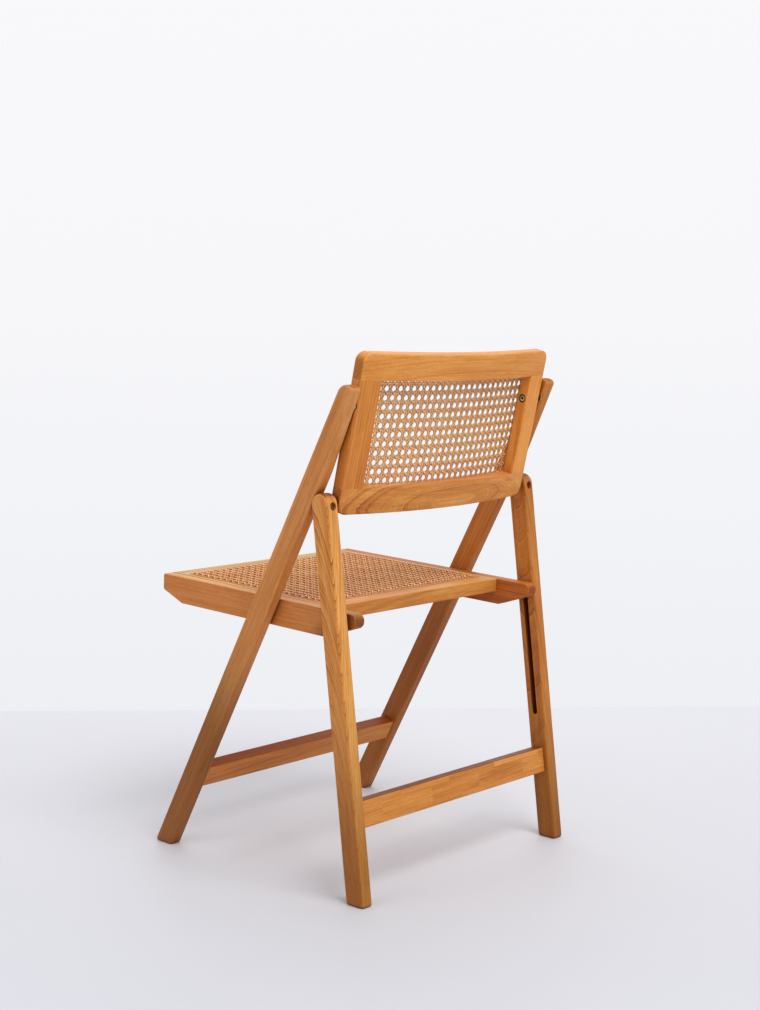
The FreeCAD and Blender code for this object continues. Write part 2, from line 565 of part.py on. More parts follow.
# ---------------------------------------------------------------- write it all
board_w, cleat_w, stile_w = place_seat(board), place_seat(cleat), place_back(stile)
save("front_leg_left", front_leg)
save("front_leg_right", mirror(front_leg))
save("front_stretcher", front_stretcher)
save("front_stretcher_dowels", front_dowels)
save("back_pivot_inserts", pair(insert(*A)))
save("seat_pivot_inserts", pair(insert(*D)))
save("back_pivot_bolts", pair(back_bolt))
save("seat_pivot_bolts", pair(seat_bolt))
save("rear_leg_left", rear_leg)
save("rear_leg_right", mirror(rear_leg))
save("rear_stretcher", rear_stretcher)
save("rear_stretcher_dowels", rear_dowels)
save("rear_barrel_nuts", pair(barrel_nut))
save("back_top_rail", place_back(top_rail))
save("back_bottom_rail", place_back(bottom_rail))
save("back_stile_left", stile_w)
save("back_stile_right", mirror(stile_w))
save("back_frame_dowels", [place_back(s) for s in frame_dowels])
save("back_cane", place_back(back_cane))
save("back_cane_spline", place_back(back_spline))
save("back_pivot_spacers", pair(back_spacer))
save("rear_pivot_studs", pair(rear_stud))
save("rear_pivot_spacers", pair(rear_spacer))
save("seat_side_board_left", board_w)
save("seat_side_board_right", mirror(board_w))
save("seat_front_bar", place_seat(front_bar))
save("seat_rear_bar", place_seat(rear_bar))
save("seat_cleat_left", cleat_w)
save("seat_cleat_right", mirror(cleat_w))
save("seat_frame_dowels", [place_seat(s) for s in seat_dowels])
save("seat_cane", place_seat(seat_cane))
save("seat_cane_spline", place_seat(seat_spline))
save("seat_pivot_washers", pair(seat_washer))
save("slot_pins", pair(slot_pin))

print("pivots A", A, "C", C, "D", D, "E", E)
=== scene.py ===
import bpy
import bmesh
import math
import random
from mathutils import Matrix, Vector


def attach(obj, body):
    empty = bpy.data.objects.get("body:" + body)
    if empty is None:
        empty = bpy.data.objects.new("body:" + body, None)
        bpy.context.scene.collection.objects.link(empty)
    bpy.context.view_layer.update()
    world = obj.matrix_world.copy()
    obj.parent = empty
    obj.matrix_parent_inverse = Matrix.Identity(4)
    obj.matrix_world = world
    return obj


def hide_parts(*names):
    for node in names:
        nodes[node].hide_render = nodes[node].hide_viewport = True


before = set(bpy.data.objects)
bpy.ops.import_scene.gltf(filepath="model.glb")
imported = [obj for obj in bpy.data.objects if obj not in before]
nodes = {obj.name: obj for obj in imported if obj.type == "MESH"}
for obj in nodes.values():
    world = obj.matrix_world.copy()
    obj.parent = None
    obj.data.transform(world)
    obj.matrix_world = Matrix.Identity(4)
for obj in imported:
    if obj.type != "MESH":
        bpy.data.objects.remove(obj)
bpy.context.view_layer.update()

W_PX, H_PX = 760, 1010

# --------------------------------------------------------------- shared sizes
# Metres, in the chair's own frame, the same figures as the construction.
FRONT_FOOT_Y, FRONT_SLOPE = -0.19439, 0.53366
REAR_FOOT_Y, REAR_SLOPE = 0.20442, 0.13597
A_F, A_R = math.atan(FRONT_SLOPE), math.atan(REAR_SLOPE)
BACK_LEAN = 0.2159
BACK_FOOT = (0.15702, 0.52194)
BACK_HALF, BACK_HEIGHT, BACK_THICK, BACK_SAG = 0.201, 0.226, 0.018, 0.017
BACK_RAIL, STILE_W, BACK_LEDGE = 0.0374, 0.037, 0.008
ARC = (BACK_HALF ** 2 + BACK_SAG ** 2) / (2 * BACK_SAG)
SEAT_TOP_Z, SEAT_SLOPE, SEAT_OUTER_X = 0.3988, 0.03065, 0.2009
SEAT_ZERO_Y, SEAT_FRONT_Y, SEAT_REAR_Y = 0.00358, -0.22277, 0.111
GROOVE_W = 0.004
SEAT_EDGE_SIDE, SEAT_EDGE_END = 0.0275, 0.026


# ------------------------------------------------------------ material helpers
def new_mat(name):
    m = bpy.data.materials.new(name)
    m.use_nodes = True
    nt = m.node_tree
    nt.nodes.clear()
    return m, nt


class G:
    """Small helper that strings shader nodes together."""

    def __init__(self, nt):
        self.nt = nt

    def n(self, kind, **props):
        node = self.nt.nodes.new(kind)
        for k, v in props.items():
            setattr(node, k, v)
        return node

    def put(self, sock, v):
        if isinstance(v, bpy.types.NodeSocket):
            self.nt.links.new(v, sock)
        elif v is not None:
            sock.default_value = v

    def math(self, op, a, b=None, c=None, clamp=False):
        node = self.n("ShaderNodeMath", operation=op, use_clamp=clamp)
        for i, v in enumerate((a, b, c)):
            if v is not None:
                self.put(node.inputs[i], v)
        return node.outputs[0]

    def vec(self, op, a, b=None, scale=None):
        node = self.n("ShaderNodeVectorMath", operation=op)
        self.put(node.inputs[0], a)
        if b is not None:
            self.put(node.inputs[1], b)
        if scale is not None:
            self.put(node.inputs["Scale"], scale)
        return node.outputs["Value"] if op in ("DOT_PRODUCT", "LENGTH") else node.outputs["Vector"]

    def xyz(self, x, y, z):
        node = self.n("ShaderNodeCombineXYZ")
        for i, v in enumerate((x, y, z)):
            self.put(node.inputs[i], v)
        return node.outputs[0]

    def noise(self, vector, scale=1.0, detail=2.0, rough=0.5, dist=0.0):
        node = self.n("ShaderNodeTexNoise", noise_dimensions="3D")
        self.put(node.inputs["Vector"], vector)
        self.put(node.inputs["Scale"], scale)
        self.put(node.inputs["Detail"], detail)
        self.put(node.inputs["Roughness"], rough)
        self.put(node.inputs["Distortion"], dist)
        return node.outputs["Fac"] if "Fac" in node.outputs else node.outputs[0]

    def ramp(self, fac, stops, interp="LINEAR"):
        node = self.n("ShaderNodeValToRGB")
        cr = node.color_ramp
        cr.interpolation = interp
        while len(cr.elements) > 1:
            cr.elements.remove(cr.elements[-1])
        cr.elements[0].position = stops[0][0]
        cr.elements[0].color = rgba(stops[0][1])
        for pos, col in stops[1:]:
            e = cr.elements.new(pos)
            e.color = rgba(col)
        self.put(node.inputs[0], fac)
        return node.outputs["Color"]

    def mix(self, fac, a, b, mode="MIX"):
        node = self.n("ShaderNodeMix", data_type="RGBA", blend_type=mode)
        node.clamp_factor = True
        self.put(node.inputs[0], fac)
        self.put(node.inputs[6], rgba(a) if isinstance(a, tuple) else a)
        self.put(node.inputs[7], rgba(b) if isinstance(b, tuple) else b)
        return node.outputs[2]

    def remap(self, v, a0, a1, b0, b1, smooth=False):
        node = self.n("ShaderNodeMapRange", interpolation_type="SMOOTHSTEP" if smooth else "LINEAR")
        node.clamp = True
        for i, x in enumerate((v, a0, a1, b0, b1)):
            self.put(node.inputs[i], x)
        return node.outputs[0]


def rgba(c):
    if isinstance(c, (int, float)):
        return (c, c, c, 1.0)
    return (c[0], c[1], c[2], 1.0) if len(c) == 3 else c


def lin(r, g, b):
    """Screen colour 0-255 to the linear colour that shaders work in."""
    out = []
    for v in (r, g, b):
        v /= 255.0
        out.append(v / 12.92 if v <= 0.04045 else ((v + 0.055) / 1.055) ** 2.4)
    return tuple(out)


def finish_mat(g, color, rough, bump=None, bump_strength=0.4, bump_dist=0.0004, metal=0.0, spec=0.5, coat=0.0,
               coat_rough=0.3, sss=0.0):
    bsdf = g.n("ShaderNodeBsdfPrincipled")
    g.put(bsdf.inputs["Base Color"], color)
    g.put(bsdf.inputs["Roughness"], rough)
    bsdf.inputs["Metallic"].default_value = metal
    bsdf.inputs["Specular IOR Level"].default_value = spec
    bsdf.inputs["Coat Weight"].default_value = coat
    bsdf.inputs["Coat Roughness"].default_value = coat_rough
    if bump is not None:
        b = g.n("ShaderNodeBump")
        b.inputs["Strength"].default_value = bump_strength
        b.inputs["Distance"].default_value = bump_dist
        g.put(b.inputs["Height"], bump)
        g.put(bsdf.inputs["Normal"], b.outputs[0])
    out = g.n("ShaderNodeOutputMaterial")
    g.put(out.inputs[0], bsdf.outputs[0])
    return bsdf


# ------------------------------------------------------------------------ wood
def wood(name, centre, along, across, seed, spacing=0.0042, pith=(0.05, 0.035), tilt=0.012, tone=0.0, red=0.0,
         contrast=1.0, stave=None, line=0.35, tint=(1.0, 1.0, 1.0), band=1.0, tilt2=None, bow=None, fade=None,
         ring=1.0, up=None, hollow=None, painted_rear_light=None, wander=1.0):
    """Oiled teak with the grain running along one member.

    centre, along and across fix the member's own directions; pith is how far
    off the member the tree's heart lies, and tilt how fast it comes closer,
    which turns straight grain into long arches. stave is the length of glued
    up blocks, where the member has them. line runs from soft bands to crisp
    ring lines, and band is how much long streaks differ in tone. tilt2 is the
    heart's tilt the other way, bow bends the rings along the member, ring is
    how strongly they show, fade paints shade that darkens it from one place
    along it to another, up paints shade or a pale sheen on faces that look up,
    and bleach paints light on faces that look to the rear. wander bends the rings.
    hollow gives the half sizes inside which a face belongs to a slot or a
    bore, which is darkened with painted shade."""
    m, nt = new_mat(name)
    g = G(nt)
    L = Vector(along).normalized()
    T = L.cross(Vector(across)).normalized()
    W = T.cross(L).normalized()
    tc = g.n("ShaderNodeTexCoord")
    p = g.vec("SUBTRACT", tc.outputs["Object"], tuple(centre))
    l = g.vec("DOT_PRODUCT", p, tuple(L))
    w = g.vec("DOT_PRODUCT", p, tuple(W))
    t = g.vec("DOT_PRODUCT", p, tuple(T))
    rnd = random.Random(seed)
    off = [rnd.uniform(-40, 40) for _ in range(12)]
    if stave:
        # glued-up blocks, each cut from another stick
        lane = g.math("FLOOR", g.math("DIVIDE", g.math("ADD", w, 50.0), stave[1]))
        step = g.math("FLOOR", g.math("ADD", g.math("DIVIDE", l, stave[0]), g.math("MULTIPLY", lane, 0.37)))
        cell = g.n("ShaderNodeTexWhiteNoise", noise_dimensions="2D")
        g.put(cell.inputs["Vector"], g.xyz(step, lane, 0.0))
        block = cell.outputs["Value"]
        w = g.math("ADD", w, g.math("MULTIPLY", block, 0.31))
        t = g.math("ADD", t, g.math("MULTIPLY", block, 0.17))
    # slow wander of the grain
    slow = g.noise(g.xyz(g.math("MULTIPLY_ADD", w, 9.0, off[0]), g.math("MULTIPLY_ADD", t, 9.0, off[1]),
                         g.math("MULTIPLY_ADD", l, 2.6, off[2])), 1.0, 2.0, 0.5)
    mid = g.noise(g.xyz(g.math("MULTIPLY_ADD", w, 60.0, off[3]), g.math("MULTIPLY_ADD", t, 60.0, off[4]),
                        g.math("MULTIPLY_ADD", l, 9.0, off[5])), 1.0, 2.0, 0.5)
    pw = g.math("ADD", g.math("MULTIPLY_ADD", l, tilt, pith[0]), w)
    pt = g.math("ADD", g.math("MULTIPLY_ADD", l, tilt * 0.6 if tilt2 is None else tilt2, pith[1]), t)
    if bow:
        lb = g.math("SUBTRACT", l, bow[1])
        pt = g.math("MULTIPLY_ADD", g.math("MULTIPLY", lb, lb), bow[0], pt)
    r = g.math("SQRT", g.math("ADD", g.math("MULTIPLY", pw, pw), g.math("MULTIPLY", pt, pt)))
    r = g.math("MULTIPLY_ADD", slow, 0.014 * wander, r)
    r = g.math("MULTIPLY_ADD", mid, 0.0024 * wander, r)
    rings = g.math("DIVIDE", r, spacing)
    # rings of uneven width
    uneven = g.noise(g.xyz(g.math("MULTIPLY_ADD", r, 160.0, off[6]), 0.0, 0.0), 1.0, 1.0, 0.5)
    rings = g.math("MULTIPLY_ADD", uneven, 1.6, rings)
    saw = g.math("FRACT", rings)
    crisp = g.ramp(saw, [(0.0, 0.0), (0.45, 0.08), (0.78, 0.50), (0.92, 1.0), (1.0, 0.10)])
    soft = g.math("MULTIPLY_ADD", g.math("COSINE", g.math("MULTIPLY", g.math("ADD", saw, 0.16), 6.28318)), -0.42, 0.42)
    late = g.mix(line, soft, crisp)
    # how strongly each ring shows
    strong = g.noise(g.xyz(g.math("FLOOR", rings), off[7], g.math("MULTIPLY", l, 1.6)), 0.73, 0.0, 0.5)
    strong = g.remap(strong, 0.3, 0.7, 0.25, 1.0)
    late = g.math("MULTIPLY", late, strong)
    # painted shade: fade mutes the rings towards the darkened end
    if fade:
        late = g.math("MULTIPLY", late, g.remap(l, fade[0] + 0.10, fade[0] - 0.22, 1.0, 0.45, True))
    # fibres and pores, long and thin
    fibre = g.noise(g.xyz(g.math("MULTIPLY_ADD", w, 520.0, off[8]), g.math("MULTIPLY_ADD", t, 520.0, off[9]),
                          g.math("MULTIPLY_ADD", l, 14.0, off[10])), 1.0, 3.0, 0.6)
    pores = g.noise(g.xyz(g.math("MULTIPLY_ADD", w, 1500.0, off[11]), g.math("MULTIPLY_ADD", t, 1500.0, off[3]),
                          g.math("MULTIPLY_ADD", l, 70.0, off[4])), 1.0, 1.0, 0.5)
    pore = g.remap(pores, 0.60, 0.72, 0.0, 1.0)
    cloud = g.noise(g.xyz(g.math("MULTIPLY_ADD", w, 22.0, off[6]), g.math("MULTIPLY_ADD", t, 22.0, off[8]),
                          g.math("MULTIPLY_ADD", l, 5.0, off[1])), 1.0, 3.0, 0.55)
    # long streaks of different tone, a few to the width of a member
    streak = g.noise(g.xyz(g.math("MULTIPLY_ADD", w, 130.0, off[2]), g.math("MULTIPLY_ADD", t, 130.0, off[5]),
                           g.math("MULTIPLY_ADD", l, 6.5, off[7])), 1.0, 3.0, 0.6)
    light = lin(228, 165, 86)
    base = lin(206, 134, 56)
    deep = lin(170, 96, 32)
    dark = lin(108, 54, 16)
    k = contrast
    val = g.math("MULTIPLY_ADD", late, 0.44 * k * ring, g.math("MULTIPLY_ADD", fibre, 0.56 * k, 0.25 - 0.28 * k - tone))
    val = g.math("MULTIPLY_ADD", g.math("SUBTRACT", cloud, 0.5), 0.75 * k, val)
    val = g.math("MULTIPLY_ADD", g.math("SUBTRACT", streak, 0.5), 0.55 * band, val)
    if stave:
        val = g.math("MULTIPLY_ADD", g.math("SUBTRACT", block, 0.5), 0.12, val)
    col = g.ramp(val, [(0.0, light), (0.32, base), (0.68, deep), (1.0, dark)])
    col = g.mix(1.0, col, tint, "MULTIPLY")
    # painted shade: fade darkens the member from one place along it to another, where less light falls
    if fade:
        painted_falloff_shade = g.remap(g.math("MULTIPLY_ADD", g.math("SUBTRACT", cloud, 0.5), 0.10, l), fade[0], fade[1], 0.0, 1.0, True)
        col = g.mix(g.math("MULTIPLY", painted_falloff_shade, fade[2]), col, g.mix(1.0, col, (0.47, 0.395, 0.195), "MULTIPLY"))
    # redder and yellower stretches
    hue = g.remap(slow, 0.30, 0.70, 0.0, 1.0)
    col = g.mix(g.math("MULTIPLY_ADD", hue, 0.45, max(0.0, red)), col, g.mix(1.0, col, (1.03, 0.84, 0.80), "MULTIPLY"))
    col = g.mix(g.math("MULTIPLY", pore, 0.5), col, g.mix(1.0, col, (0.46, 0.36, 0.30), "MULTIPLY"))
    # end grain drinks the oil and goes darker
    nrm = tc.outputs["Normal"]
    # painted light: up paints shade or a pale sheen on faces that look up
    if up:
        top_painted_light = g.remap(g.vec("DOT_PRODUCT", nrm, (0.0, 0.0, 1.0)), 0.60, 0.90, 0.0, 1.0, True)
        col = g.mix(top_painted_light, col, g.mix(1.0, col, up, "MULTIPLY"))
    # painted light: bleach brightens and pales faces that look to the rear
    if painted_rear_light:
        back = g.remap(g.vec("DOT_PRODUCT", nrm, (0.0, 1.0, 0.0)), 0.70, 0.95, 0.0, 1.0, True)
        col = g.mix(back, col, g.mix(1.0, col, painted_rear_light, "MULTIPLY"))
    # painted shade: faces inside a slot or a bore are darkened
    if hollow:
        inside = g.math("MULTIPLY", g.math("LESS_THAN", g.math("ABSOLUTE", w), hollow[0]),
                        g.math("LESS_THAN", g.math("ABSOLUTE", t), hollow[1]))
        col = g.mix(g.math("MULTIPLY", inside, 0.9), col, g.mix(1.0, col, (0.44, 0.30, 0.18), "MULTIPLY"))
    endg = g.remap(g.math("ABSOLUTE", g.vec("DOT_PRODUCT", nrm, tuple(L))), 0.75, 0.97, 0.0, 1.0, True)
    col = g.mix(g.math("MULTIPLY", endg, 0.85), col, g.mix(1.0, col, (0.60, 0.52, 0.50), "MULTIPLY"))
    # painted shade: darker where members meet and in corners, from the ambient occlusion node
    ao = g.n("ShaderNodeAmbientOcclusion", samples=6)
    ao.inputs["Distance"].default_value = 0.022
    painted_contact_shade = g.remap(ao.outputs["AO"], 0.12, 0.62, 0.80, 0.0, True)
    col = g.mix(painted_contact_shade, col, g.mix(1.0, col, (0.34, 0.20, 0.11), "MULTIPLY"))
    # paler rounded corners: painted highlight along them, broken into patches like rubbed wear
    nw = g.math("ABSOLUTE", g.vec("DOT_PRODUCT", nrm, tuple(W)))
    ntt = g.math("ABSOLUTE", g.vec("DOT_PRODUCT", nrm, tuple(T)))
    edge_highlight_and_wear = g.math("MULTIPLY", g.math("MULTIPLY", nw, ntt), 2.0, clamp=True)
    rub = g.noise(g.vec("SCALE", p, scale=70.0), 1.0, 3.0, 0.6)
    edge_highlight_and_wear = g.math("MULTIPLY", edge_highlight_and_wear, g.remap(rub, 0.38, 0.66, 0.15, 0.75))
    col = g.mix(g.math("MULTIPLY", edge_highlight_and_wear, 0.45), col, g.mix(1.0, col, (1.22, 1.20, 1.12), "MULTIPLY"))
    rough = g.math("MULTIPLY_ADD", fibre, 0.22, 0.40)
    rough = g.math("MULTIPLY_ADD", endg, 0.15, rough)
    height = g.math("SUBTRACT", g.math("MULTIPLY", fibre, 0.5), g.math("MULTIPLY_ADD", pore, 0.7, g.math("MULTIPLY", late, 0.25)))
    finish_mat(g, col, rough, height, 0.35, 0.00025, spec=0.26, coat=0.03, coat_rough=0.35)
    return m


def own(node, mat):
    """Gives a construction node its material."""
    o = nodes[node]
    o.data.materials.clear()
    o.data.materials.append(mat)


def front_dir():
    return Vector((0, math.sin(A_F), math.cos(A_F)))


def rear_dir():
    return Vector((0, -math.sin(A_R), math.cos(A_R)))


X = Vector((1, 0, 0))
fF = lambda s, t, n=0.0: Vector((s, FRONT_FOOT_Y + math.sin(A_F) * t + math.cos(A_F) * n, math.cos(A_F) * t - math.sin(A_F) * n))
fR = lambda s, t, n=0.0: Vector((s, REAR_FOOT_Y - math.sin(A_R) * t + math.cos(A_R) * n, math.cos(A_R) * t + math.sin(A_R) * n))

# fade on the legs paints shade towards their feet; bleach on the rear legs paints light on their rear faces
own("front_leg_left", wood("teak_front_leg_left", fF(0.214, 0.40), front_dir(), X, 11, pith=(0.016, 0.060), tilt=0.010, red=0.35, contrast=0.9, tone=0.07, line=0.1, band=0.9, ring=0.35, tint=(0.94, 0.96, 1.22), fade=(0.02, -0.20, 1.0)))
own("front_leg_right", wood("teak_front_leg_right", fF(-0.214, 0.40), front_dir(), X, 12, pith=(0.03, 0.050), tilt=-0.012, tone=-0.02, red=0.2, contrast=0.8, line=0.2, tint=(0.89, 0.83, 0.72), fade=(0.10, -0.12, 0.75)))
own("rear_leg_left", wood("teak_rear_leg_left", fR(0.2162, 0.28), rear_dir(), X, 13, spacing=0.00125, pith=(0.062, 0.027), tilt=0.11, tilt2=0.0, tone=0.16, contrast=1.0, ring=3.3, line=0.75, band=0.7, tint=(1.06, 1.01, 1.00), fade=(0.06, -0.22, 0.9), hollow=(0.0092, 0.0116), painted_rear_light=(1.21, 1.52, 2.00)))
own("rear_leg_right", wood("teak_rear_leg_right", fR(-0.2162, 0.28), rear_dir(), X, 14, spacing=0.0022, pith=(0.052, 0.002), tilt=-0.12, tilt2=0.0, tone=-0.02, contrast=1.0, ring=2.1, line=0.6, tint=(0.90, 0.84, 0.74), fade=(0.0, -0.26, 0.9), painted_rear_light=(1.10, 1.22, 1.45), hollow=(0.0092, 0.0116)))
# up on the stretchers paints shade on their tops
own("front_stretcher", wood("teak_front_stretcher", fF(0, 0.1325), X, Vector((0, math.cos(A_F), -math.sin(A_F))), 15, pith=(0.06, 0.03), tilt=0.02, tone=-0.10, contrast=0.7, line=0.2, tint=(0.98, 0.93, 0.88), up=(0.52, 0.32, 0.08)))
own("rear_stretcher", wood("teak_rear_stretcher", fR(0, 0.122), X, rear_dir(), 16, pith=(0.05, 0.02), tilt=0.03, tone=0.0, contrast=0.95, line=0.15, band=0.9, stave=(0.105, 0.0212), up=(0.30, 0.21, 0.14), tint=(1.02, 0.98, 0.92), ring=0.45))
back_up = Vector((0, math.sin(BACK_LEAN), math.cos(BACK_LEAN)))
back_mid = Vector((0, BACK_FOOT[0], BACK_FOOT[1])) + back_up * (BACK_HEIGHT / 2)
own("back_top_rail", wood("teak_back_top_rail", back_mid + back_up * 0.094, X, back_up, 17, spacing=0.0052, pith=(0.055, 0.02), tilt=0.02, tone=0.16, contrast=0.7, line=0.2, band=0.7, tint=(1.07, 0.99, 0.86)))
own("back_bottom_rail", wood("teak_back_bottom_rail", back_mid - back_up * 0.094, X, back_up, 18, spacing=0.0027, pith=(0.010, 0.020), tilt=0.05, tilt2=0.07, bow=(0.35, 0.02), tone=0.15, contrast=1.0, ring=2.5, line=0.6, band=1.0, tint=(1.05, 1.0, 0.98), wander=1.9))
own("back_stile_left", wood("teak_back_stile_left", back_mid + X * 0.183, back_up, X, 19, pith=(0.04, 0.03), tilt=0.02, red=0.2, tone=0.04, contrast=0.6, line=0.1, band=1.1, tint=(1.04, 0.99, 0.90)))
own("back_stile_right", wood("teak_back_stile_right", back_mid - X * 0.183, back_up, X, 20, pith=(0.04, 0.03), tilt=0.02, tone=0.16, contrast=0.6, line=0.1, band=1.0, tint=(1.15, 1.05, 0.82)))
# up on the seat boards, bars and cleats paints a pale sheen on their tops; fade on the left board paints shade on its
# rear tail; the right board's darker tone and tint are painted shade
own("seat_side_board_left", wood("teak_side_board_left", (0.19, -0.02, 0.385), (0, 1, -SEAT_SLOPE), (0, 0, 1), 21, pith=(0.06, 0.04), tilt=0.012, red=0.35, contrast=0.6, line=0.2, tint=(0.98, 0.98, 1.25), fade=(0.11, 0.15, 0.75), up=(1.08, 1.52, 2.05)))
own("seat_side_board_right", wood("teak_side_board_right", (-0.19, -0.02, 0.385), (0, 1, -SEAT_SLOPE), (0, 0, 1), 22, pith=(0.06, 0.04), tilt=0.012, red=0.5, tone=-0.20, contrast=0.8, line=0.2, tint=(0.80, 0.64, 0.46), up=(1.22, 1.5, 1.9)))
own("seat_front_bar", wood("teak_front_bar", (0, -0.2, 0.395), X, (0, 1, 0), 23, pith=(0.05, 0.03), tilt=0.02, tone=0.10, contrast=0.6, tint=(1.0, 1.04, 1.2), up=(0.88, 1.12, 1.75)))
own("seat_rear_bar", wood("teak_rear_bar", (0, 0.09, 0.39), X, (0, 1, 0), 24, pith=(0.05, 0.03), tilt=0.03, contrast=0.9, up=(1.05, 1.15, 1.3)))
own("seat_cleat_left", wood("teak_cleat_left", (0.172, -0.05, 0.396), (0, 1, 0), X, 25, contrast=0.8, up=(1.04, 1.3, 1.5)))
own("seat_cleat_right", wood("teak_cleat_right", (-0.172, -0.05, 0.396), (0, 1, 0), X, 26, contrast=0.8, up=(1.04, 1.3, 1.5)))

dowel_mat = wood("beech_dowel", (0, 0, 0), X, (0, 0, 1), 31, spacing=0.003, tone=0.15, contrast=0.5)
for n in ("front_stretcher_dowels", "rear_stretcher_dowels", "back_frame_dowels", "seat_frame_dowels"):
    own(n, dowel_mat)


# ----------------------------------------------------------------------- metal
def metal(name, color, rough, axis=(1, 0, 0), shine=1.0, head=None):
    """head is the y and z of a screw axis, for painted shade in a ring round the head and in its socket."""
    m, nt = new_mat(name)
    g = G(nt)
    tc = g.n("ShaderNodeTexCoord")
    p = tc.outputs["Object"]
    fine = g.noise(g.vec("MULTIPLY", p, (5200.0 - 4300.0 * axis[0], 5200.0, 5200.0)), 1.0, 2.0, 0.6)
    blot = g.noise(g.vec("SCALE", p, scale=420.0), 1.0, 3.0, 0.6)
    col = g.mix(g.remap(blot, 0.40, 0.72, 0.0, 0.65), color, tuple(c * 0.62 for c in color))
    if head:
        # painted shade: a dark ring round the head and a dark socket
        q = g.vec("MULTIPLY", g.vec("SUBTRACT", p, (0.0, head[0], head[1])), (0.0, 1.0, 1.0))
        far = g.math("SQRT", g.vec("DOT_PRODUCT", q, q))
        painted_rim_shade = g.math("ADD", g.remap(far, 0.0036, 0.0043, 0.0, 1.0, True), g.remap(far, 0.0026, 0.0019, 0.0, 1.0, True), clamp=True)
        col = g.mix(g.math("MULTIPLY", painted_rim_shade, 0.93), col, (0.030, 0.020, 0.012))
    r = g.math("MULTIPLY_ADD", blot, 0.22, g.math("MULTIPLY_ADD", fine, 0.12, rough - 0.15))
    finish_mat(g, col, r, fine, 0.12, 0.00005, metal=shine, spec=0.5 if shine == 1.0 else 0.15)
    return m


steel = metal("zinc_steel", (0.58, 0.54, 0.44), 0.30)
head_steel = metal("zinc_steel_head", (0.74, 0.66, 0.50), 0.26, head=(0.169688, 0.675431))
bronze = metal("aged_brass_nut", (0.34, 0.25, 0.15), 0.30)
brass = metal("brass", (0.72, 0.52, 0.22), 0.38)
dull = metal("black_oxide_steel", (0.050, 0.032, 0.020), 0.60, shine=0.0)
own("back_pivot_bolts", head_steel)
for n in ("seat_pivot_bolts", "rear_pivot_studs", "seat_pivot_washers", "slot_pins"):
    own(n, steel)
for n in ("back_pivot_spacers", "rear_pivot_spacers"):
    own(n, dull)
own("rear_barrel_nuts", bronze)
for n in ("back_pivot_inserts", "seat_pivot_inserts"):
    own(n, brass)


# ------------------------------------------------------------------------ cane
def cane_mat(name, shift=0.0, flank_shade_col=(0.26, 0.15, 0.09), flank_amt=0.92, shine=0.0, sheen_paint_col=lin(252, 206, 160)):
    """Split cane: glossy skin, fine lengthwise lines, a darker node now and
    then. The strands carry across, along and tone as a vertex attribute."""
    m, nt = new_mat(name)
    g = G(nt)
    at = g.n("ShaderNodeAttribute", attribute_type="GEOMETRY", attribute_name="strand")
    sep = g.n("ShaderNodeSeparateXYZ")
    g.put(sep.inputs[0], at.outputs["Vector"])
    across, along, tone = sep.outputs[0], sep.outputs[1], sep.outputs[2]
    lines = g.noise(g.xyz(g.math("MULTIPLY", across, 3800.0), g.math("MULTIPLY", along, 26.0), g.math("MULTIPLY", tone, 57.0)), 1.0, 2.0, 0.55)
    patch = g.noise(g.xyz(g.math("MULTIPLY", across, 60.0), g.math("MULTIPLY", along, 34.0), g.math("MULTIPLY", tone, 91.0)), 1.0, 2.0, 0.5)
    val = g.math("MULTIPLY_ADD", tone, 0.50, g.math("MULTIPLY_ADD", patch, 0.60, g.math("MULTIPLY_ADD", lines, 0.34, -0.27 + shift)))
    col = g.ramp(val, [(0.0, lin(254, 208, 142)), (0.35, lin(244, 172, 96)), (0.70, lin(216, 128, 56)), (1.0, lin(164, 84, 28))])
    # painted highlight: the crown is painted paler; painted shade: the sides are painted dark brown
    crown = g.n("ShaderNodeAttribute", attribute_type="GEOMETRY", attribute_name="crown").outputs["Fac"]
    if shine:
        col = g.mix(g.remap(crown, 0.80, 0.98, 0.0, shine, True), col, sheen_paint_col)
    flank = g.remap(crown, 0.12, 0.80, 1.0, 0.0, True)
    col = g.mix(g.math("MULTIPLY", flank, flank_amt), col, g.mix(1.0, col, flank_shade_col, "MULTIPLY"))
    # growth node rings, every so often along a strand
    ph = g.math("FRACT", g.math("ADD", g.math("MULTIPLY", along, 6.2), g.math("MULTIPLY", tone, 7.31)))
    node = g.remap(g.math("ABSOLUTE", g.math("SUBTRACT", ph, 0.5)), 0.0, 0.006, 1.0, 0.0)
    col = g.mix(g.math("MULTIPLY", node, 0.6), col, lin(120, 66, 30))
    rough = g.math("MULTIPLY_ADD", lines, 0.18, 0.42)
    finish_mat(g, col, rough, g.math("ADD", lines, g.math("MULTIPLY", node, 0.8)), 0.25, 0.00012, spec=0.25, coat=0.03, coat_rough=0.3)
    return m


# the flank colour and share paint shade on the strands' sides; shine and its colour paint a highlight along their
# crowns
cane_back_m = cane_mat("cane_back", -0.10, (0.18, 0.085, 0.035), 0.95, 0.85, lin(255, 196, 122))
cane_seat_m = cane_mat("cane_seat", 0.0, (0.22, 0.12, 0.07), 0.95, 0.6)


